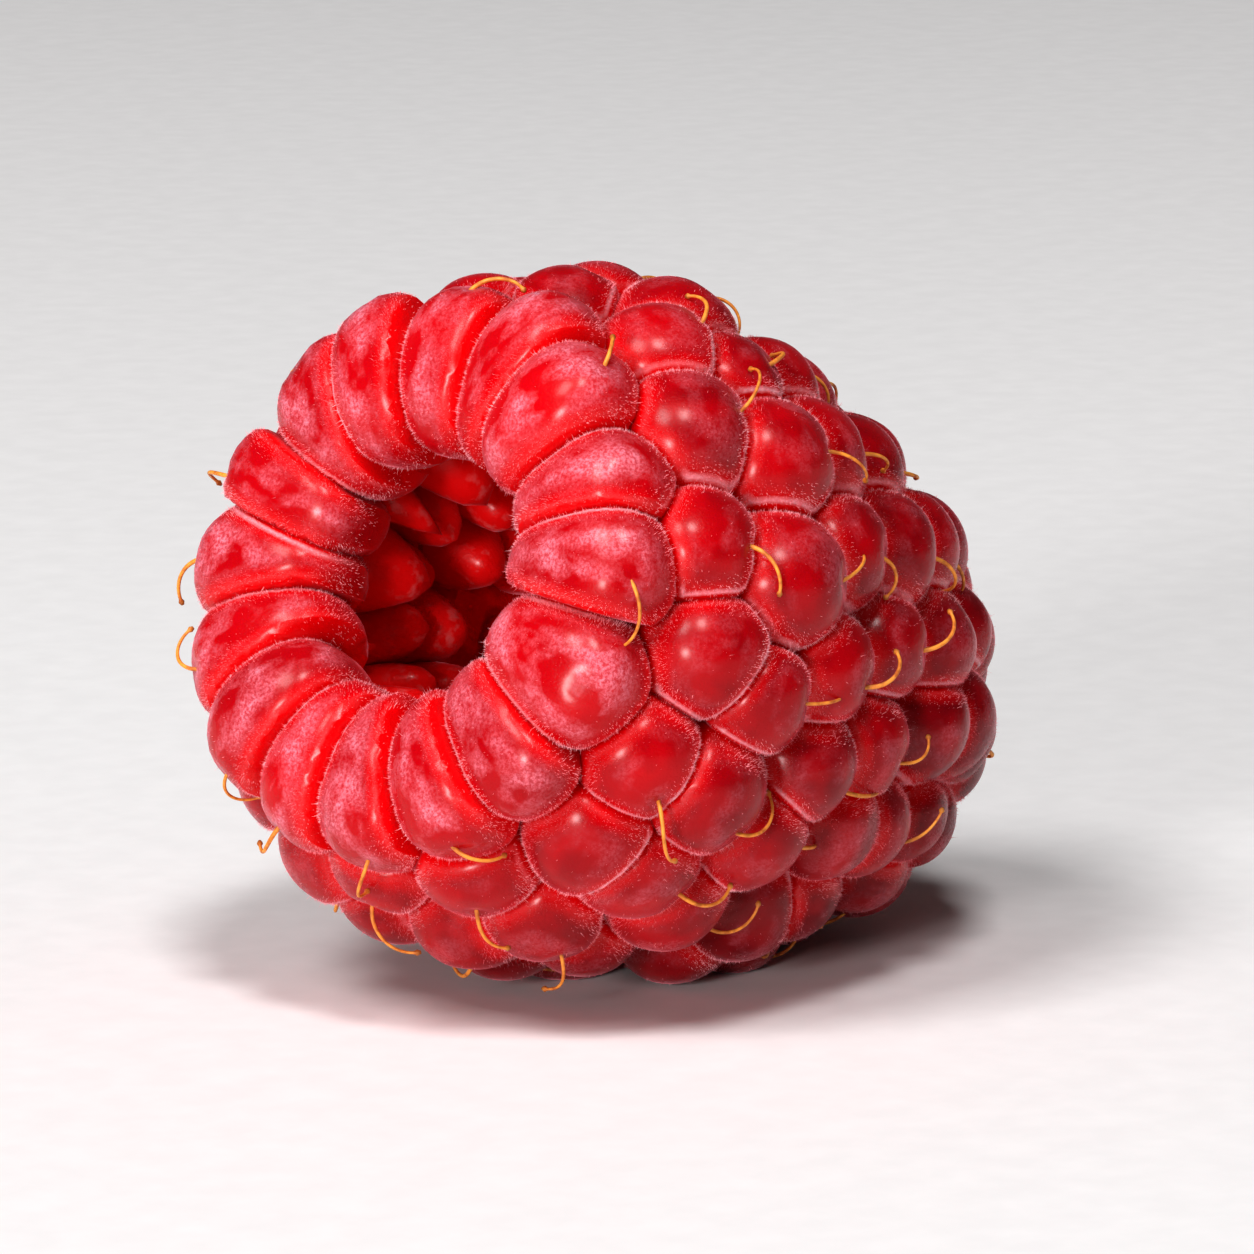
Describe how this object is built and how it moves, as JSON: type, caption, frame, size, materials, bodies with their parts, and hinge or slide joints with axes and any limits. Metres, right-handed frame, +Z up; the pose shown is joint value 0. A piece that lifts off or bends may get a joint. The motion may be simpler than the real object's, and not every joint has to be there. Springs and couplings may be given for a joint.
{
  "type": "raspberry",
  "caption": "Ripe raspberry picked off its core, lying on its side, with bead-like drupelets round an open hollow.",
  "frame": {"origin": "on the surface that the berry lies on, below the middle of its bounding box", "axes": "+X in plan from the mouth of the hollow to the tip, which dips 22 degrees; +Z up"},
  "size_m": [0.025, 0.021, 0.0213],
  "materials": {
    "raspberry_skin": "satiny, translucent ripe fruit skin over red juice",
    "dried_style": "dry golden-brown plant hair",
    "skin_down": "very fine pale down on the skin"
  },
  "bodies": {
    "root": {"raspberry": "raspberry_skin"}
  },
  "joints": []
}
